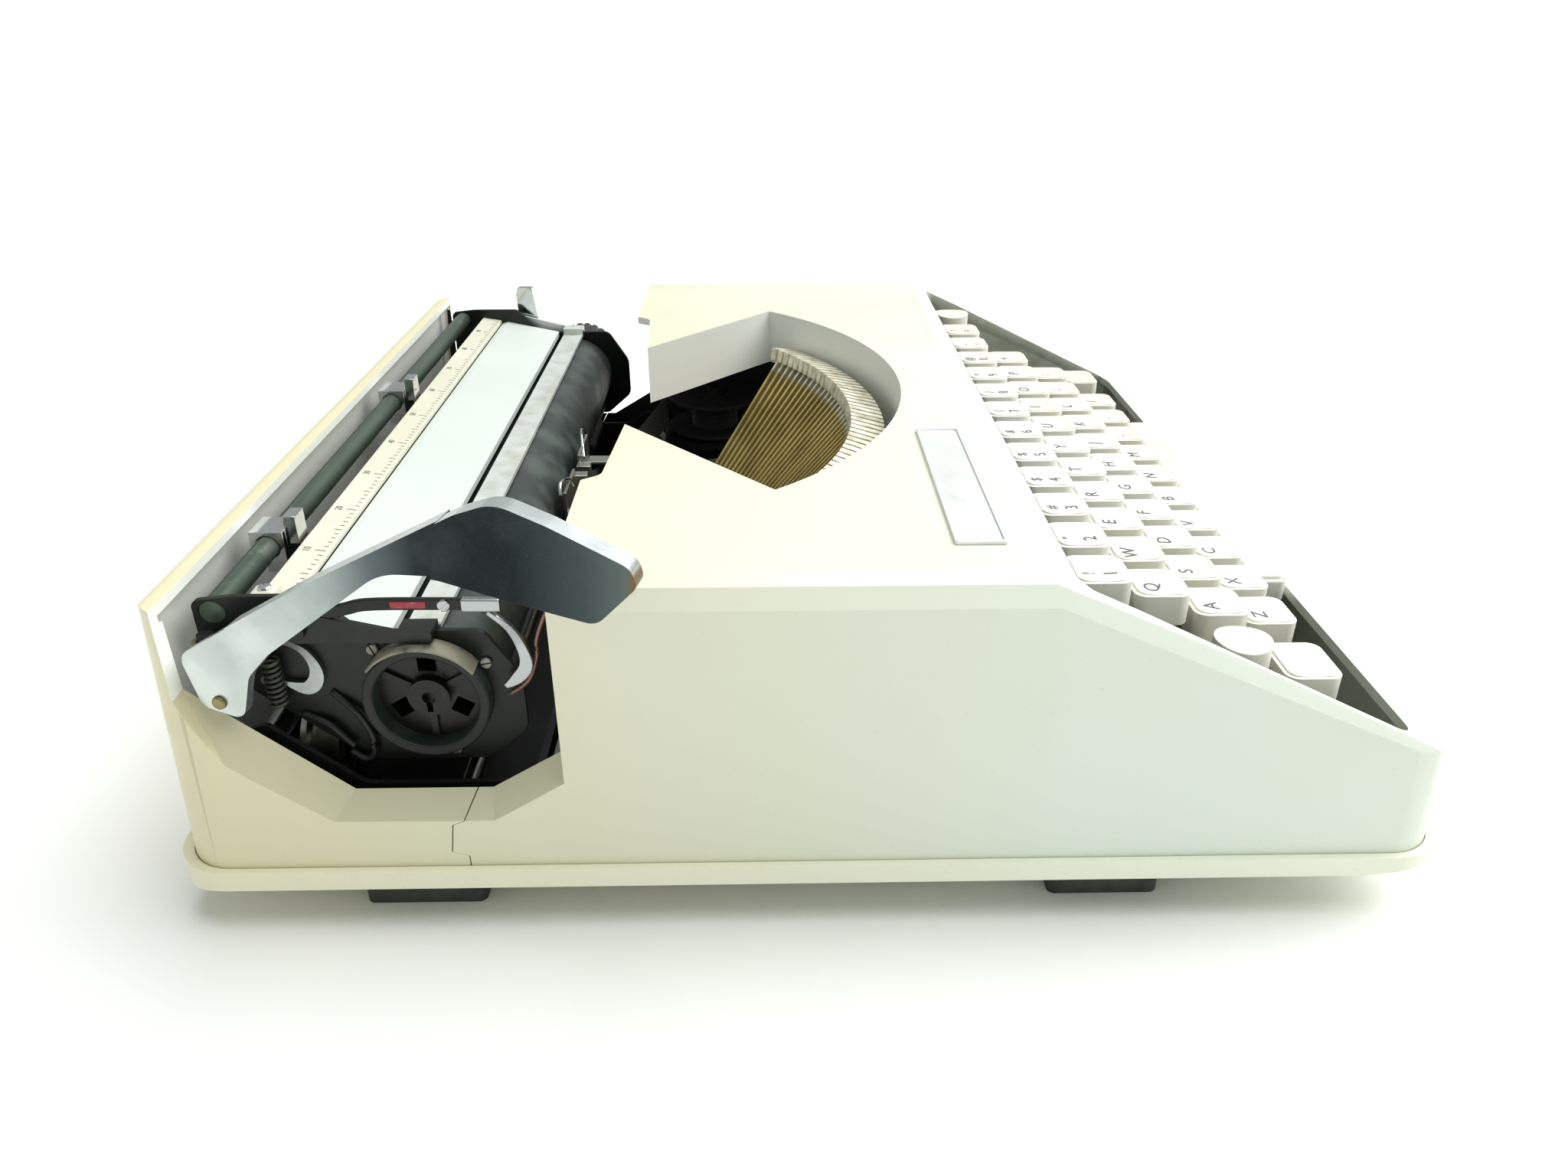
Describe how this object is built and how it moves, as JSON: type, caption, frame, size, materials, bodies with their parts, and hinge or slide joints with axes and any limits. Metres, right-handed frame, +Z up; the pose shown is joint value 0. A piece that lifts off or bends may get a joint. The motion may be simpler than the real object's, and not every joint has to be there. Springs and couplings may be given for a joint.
{
  "type": "manual portable typewriter",
  "caption": "Flat manual portable typewriter with a cream plastic case, four key rows, a round-fronted type basket and a sliding carriage with a folded return lever.",
  "frame": {"origin": "middle of the underside, on the surface that the feet stand on", "axes": "+X to the typist's right, +Y to the back, +Z up"},
  "size_m": [0.3194, 0.316, 0.1191],
  "materials": {
    "case_cream": "semi-gloss moulded plastic, slightly yellowed",
    "foot_rubber": "matt black rubber",
    "plated_steel": "nickel-plated steel",
    "badge_alloy": "thin satin plate with a raised rim",
    "frame_steel": "black lacquered sheet steel",
    "ribbon_fabric": "inked cotton ribbon",
    "bell_steel": "turned steel",
    "cast_segment": "machined casting",
    "bar_bronze": "gold-brown passivated steel",
    "key_plastic": "off-white two-shot plastic",
    "lever_steel": "blanked steel",
    "spool_plastic": "dark plastic with wound ribbon",
    "wheel_brass": "cut brass",
    "end_steel": "dark brown-grey lacquer",
    "table_paint": "pale satin enamel",
    "scale_plastic": "cream strip with scale marks",
    "rail_steel": "grey-green satin tube",
    "feed_rubber": "black rubber on steel shafts",
    "platen_rubber": "hard black rubber",
    "hub_steel": "dark pressed steel",
    "knob_plastic": "black knurled plastic",
    "bright_chrome": "bright chrome plate",
    "bail_alloy": "satin aluminium strip"
  },
  "bodies": {
    "chassis": {"base_tray": "case_cream", "rubber_feet": "foot_rubber", "case_screws": "plated_steel", "top_cover": "case_cream", "rear_cover": "case_cream", "badge_plate": "badge_alloy", "side_frame_left": "frame_steel", "side_frame_right": "frame_steel", "cross_members": "frame_steel", "key_comb": "frame_steel", "fulcrum_rod": "plated_steel", "rear_rail": "plated_steel", "front_rail": "plated_steel", "spool_deck": "frame_steel", "ribbon": "ribbon_fabric", "type_guide": "plated_steel", "bell": "bell_steel", "rear_brackets": "frame_steel"},
    "type_basket": {"type_segment": "cast_segment", "typebars": "bar_bronze"},
    "typebar": {"center_typebar": "bar_bronze"},
    "number_row": {"caps_row_1": "key_plastic", "levers_row_1": "lever_steel"},
    "upper_row": {"caps_row_2": "key_plastic", "levers_row_2": "lever_steel"},
    "home_row": {"caps_row_3": "key_plastic", "levers_row_3": "lever_steel"},
    "lower_row": {"caps_row_4": "key_plastic", "levers_row_4": "lever_steel"},
    "center_key": {"center_cap": "key_plastic", "center_lever": "lever_steel"},
    "space_key": {"space_bar": "key_plastic", "space_bar_arms": "lever_steel"},
    "shift_keys": {"shift_caps": "key_plastic", "shift_levers": "lever_steel"},
    "lock": {"lock_key": "key_plastic"},
    "backspace": {"backspace_key": "key_plastic"},
    "left_spool": {"spool_left": "spool_plastic"},
    "right_spool": {"spool_right": "spool_plastic"},
    "vibrator": {"ribbon_vibrator": "plated_steel"},
    "escapement": {"escapement_wheel": "wheel_brass"},
    "drum": {"mainspring_drum": "plated_steel"},
    "carriage": {"carriage_frame": "frame_steel", "end_plate_left": "end_steel", "end_plate_right": "end_steel", "paper_table": "table_paint", "margin_scale": "scale_plastic", "margin_rail": "rail_steel", "paper_pan": "plated_steel", "feed_rollers": "feed_rubber", "escapement_rack": "lever_steel"},
    "platen": {"platen_roller": "platen_rubber", "platen_hub": "hub_steel", "platen_knob": "knob_plastic"},
    "bracket": {"lever_bracket": "bright_chrome"},
    "lever": {"return_lever": "bright_chrome"},
    "bail": {"paper_bail": "bail_alloy"},
    "left_stop": {"margin_stop_left": "bright_chrome"},
    "right_stop": {"margin_stop_right": "bright_chrome"},
    "release": {"paper_release": "bright_chrome"}
  },
  "joints": [
    {"name": "basket_shift", "type": "slide", "parent": "chassis", "child": "type_basket", "axis": [0, 0, -1], "range_m": [0, 0.0048], "stiffness_N_per_m": 900, "springref_m": -0.008},
    {"name": "typebar_swing", "type": "hinge", "parent": "type_basket", "child": "typebar", "pos_m": [0, 0.0182, 0.034], "axis": [-1, 0, 0], "range_deg": [0, 103.6]},
    {"name": "number_row_press", "type": "hinge", "parent": "chassis", "child": "number_row", "pos_m": [0, 0.06, 0.034], "axis": [1, 0, 0], "range_deg": [0, 3.4], "stiffness_Nm_per_rad": 1.6, "springref_deg": -6.88},
    {"name": "upper_row_press", "type": "hinge", "parent": "chassis", "child": "upper_row", "pos_m": [0, 0.06, 0.034], "axis": [1, 0, 0], "range_deg": [0, 3.4], "stiffness_Nm_per_rad": 1.8, "springref_deg": -6.88},
    {"name": "home_row_press", "type": "hinge", "parent": "chassis", "child": "home_row", "pos_m": [0, 0.06, 0.034], "axis": [1, 0, 0], "range_deg": [0, 3.4], "stiffness_Nm_per_rad": 2, "springref_deg": -6.88},
    {"name": "lower_row_press", "type": "hinge", "parent": "chassis", "child": "lower_row", "pos_m": [0, 0.06, 0.034], "axis": [1, 0, 0], "range_deg": [0, 3.4], "stiffness_Nm_per_rad": 2, "springref_deg": -6.88},
    {"name": "center_key_press", "type": "hinge", "parent": "chassis", "child": "center_key", "pos_m": [0, 0.06, 0.034], "axis": [1, 0, 0], "range_deg": [0, 3.4], "stiffness_Nm_per_rad": 0.35, "springref_deg": -6.88},
    {"name": "space_press", "type": "hinge", "parent": "chassis", "child": "space_key", "pos_m": [0, 0.06, 0.034], "axis": [1, 0, 0], "range_deg": [0, 3.4], "stiffness_Nm_per_rad": 0.9, "springref_deg": -6.88},
    {"name": "shift_press", "type": "hinge", "parent": "chassis", "child": "shift_keys", "pos_m": [0, 0.06, 0.034], "axis": [1, 0, 0], "range_deg": [0, 3.4], "stiffness_Nm_per_rad": 0.9, "springref_deg": -6.88},
    {"name": "lock_press", "type": "hinge", "parent": "chassis", "child": "lock", "pos_m": [0, 0.06, 0.034], "axis": [1, 0, 0], "range_deg": [0, 3.4], "stiffness_Nm_per_rad": 0.25, "springref_deg": -6.88},
    {"name": "backspace_press", "type": "hinge", "parent": "chassis", "child": "backspace", "pos_m": [0, 0.06, 0.034], "axis": [1, 0, 0], "range_deg": [0, 3.4], "stiffness_Nm_per_rad": 0.25, "springref_deg": -6.88},
    {"name": "left_spool_spin", "type": "hinge", "parent": "chassis", "child": "left_spool", "pos_m": [-0.1, 0.032, 0.05], "axis": [0, 0, 1], "continuous": true},
    {"name": "right_spool_spin", "type": "hinge", "parent": "chassis", "child": "right_spool", "pos_m": [0.1, 0.032, 0.05], "axis": [0, 0, 1], "continuous": true},
    {"name": "vibrator_lift", "type": "slide", "parent": "chassis", "child": "vibrator", "axis": [0, 0, 1], "range_m": [0, 0.007], "stiffness_N_per_m": 20, "springref_m": -0.004},
    {"name": "carriage_travel", "type": "slide", "parent": "chassis", "child": "carriage", "axis": [1, 0, 0], "range_m": [-0.095, 0.095]},
    {"name": "escapement_turn", "type": "hinge", "parent": "chassis", "child": "escapement", "pos_m": [0, 0.1186, 0.0439], "axis": [0, 1, 0], "range_deg": [-460, 460]},
    {"name": "drum_turn", "type": "hinge", "parent": "chassis", "child": "drum", "pos_m": [-0.1, 0.127, 0.028], "axis": [0, 1, 0], "range_deg": [-470, 470]},
    {"name": "platen_turn", "type": "hinge", "parent": "carriage", "child": "platen", "pos_m": [0, 0.0925, 0.057], "axis": [1, 0, 0], "continuous": true},
    {"name": "bracket_swing", "type": "hinge", "parent": "carriage", "child": "bracket", "pos_m": [-0.1285, 0.1395, 0.0735], "axis": [0, 0, 1], "range_deg": [0, 15], "stiffness_Nm_per_rad": 0.3, "springref_deg": -5.73},
    {"name": "lever_fold", "type": "hinge", "parent": "bracket", "child": "lever", "pos_m": [-0.136, 0.1348, 0.0644], "axis": [-0.9781, 0.2079, 0], "range_deg": [0, 18]},
    {"name": "bail_lift", "type": "hinge", "parent": "carriage", "child": "bail", "pos_m": [0, 0.119, 0.077], "axis": [-1, 0, 0], "range_deg": [0, 60]},
    {"name": "left_stop_slide", "type": "slide", "parent": "carriage", "child": "left_stop", "axis": [1, 0, 0], "range_m": [-0.03, 0.07]},
    {"name": "right_stop_slide", "type": "slide", "parent": "carriage", "child": "right_stop", "axis": [1, 0, 0], "range_m": [-0.018, 0.09]},
    {"name": "paper_release_pull", "type": "hinge", "parent": "carriage", "child": "release", "pos_m": [0.1372, 0.1095, 0.0655], "axis": [1, 0, 0], "range_deg": [0, 16], "stiffness_Nm_per_rad": 0.03, "springref_deg": -17.19}
  ],
  "couplings": [
    {"joint": "typebar_swing", "follows": "center_key_press", "ratio": 30.468},
    {"joint": "vibrator_lift", "follows": "center_key_press", "m_per_rad": 0.11795},
    {"joint": "basket_shift", "follows": "shift_press", "m_per_rad": 0.08088},
    {"joint": "lock_press", "follows": "shift_press", "ratio": 0.9999},
    {"joint": "escapement_turn", "follows": "carriage_travel", "rad_per_m": 82.457},
    {"joint": "drum_turn", "follows": "carriage_travel", "rad_per_m": 83.333},
    {"joint": "right_spool_spin", "follows": "left_spool_spin", "ratio": 0.8}
  ]
}
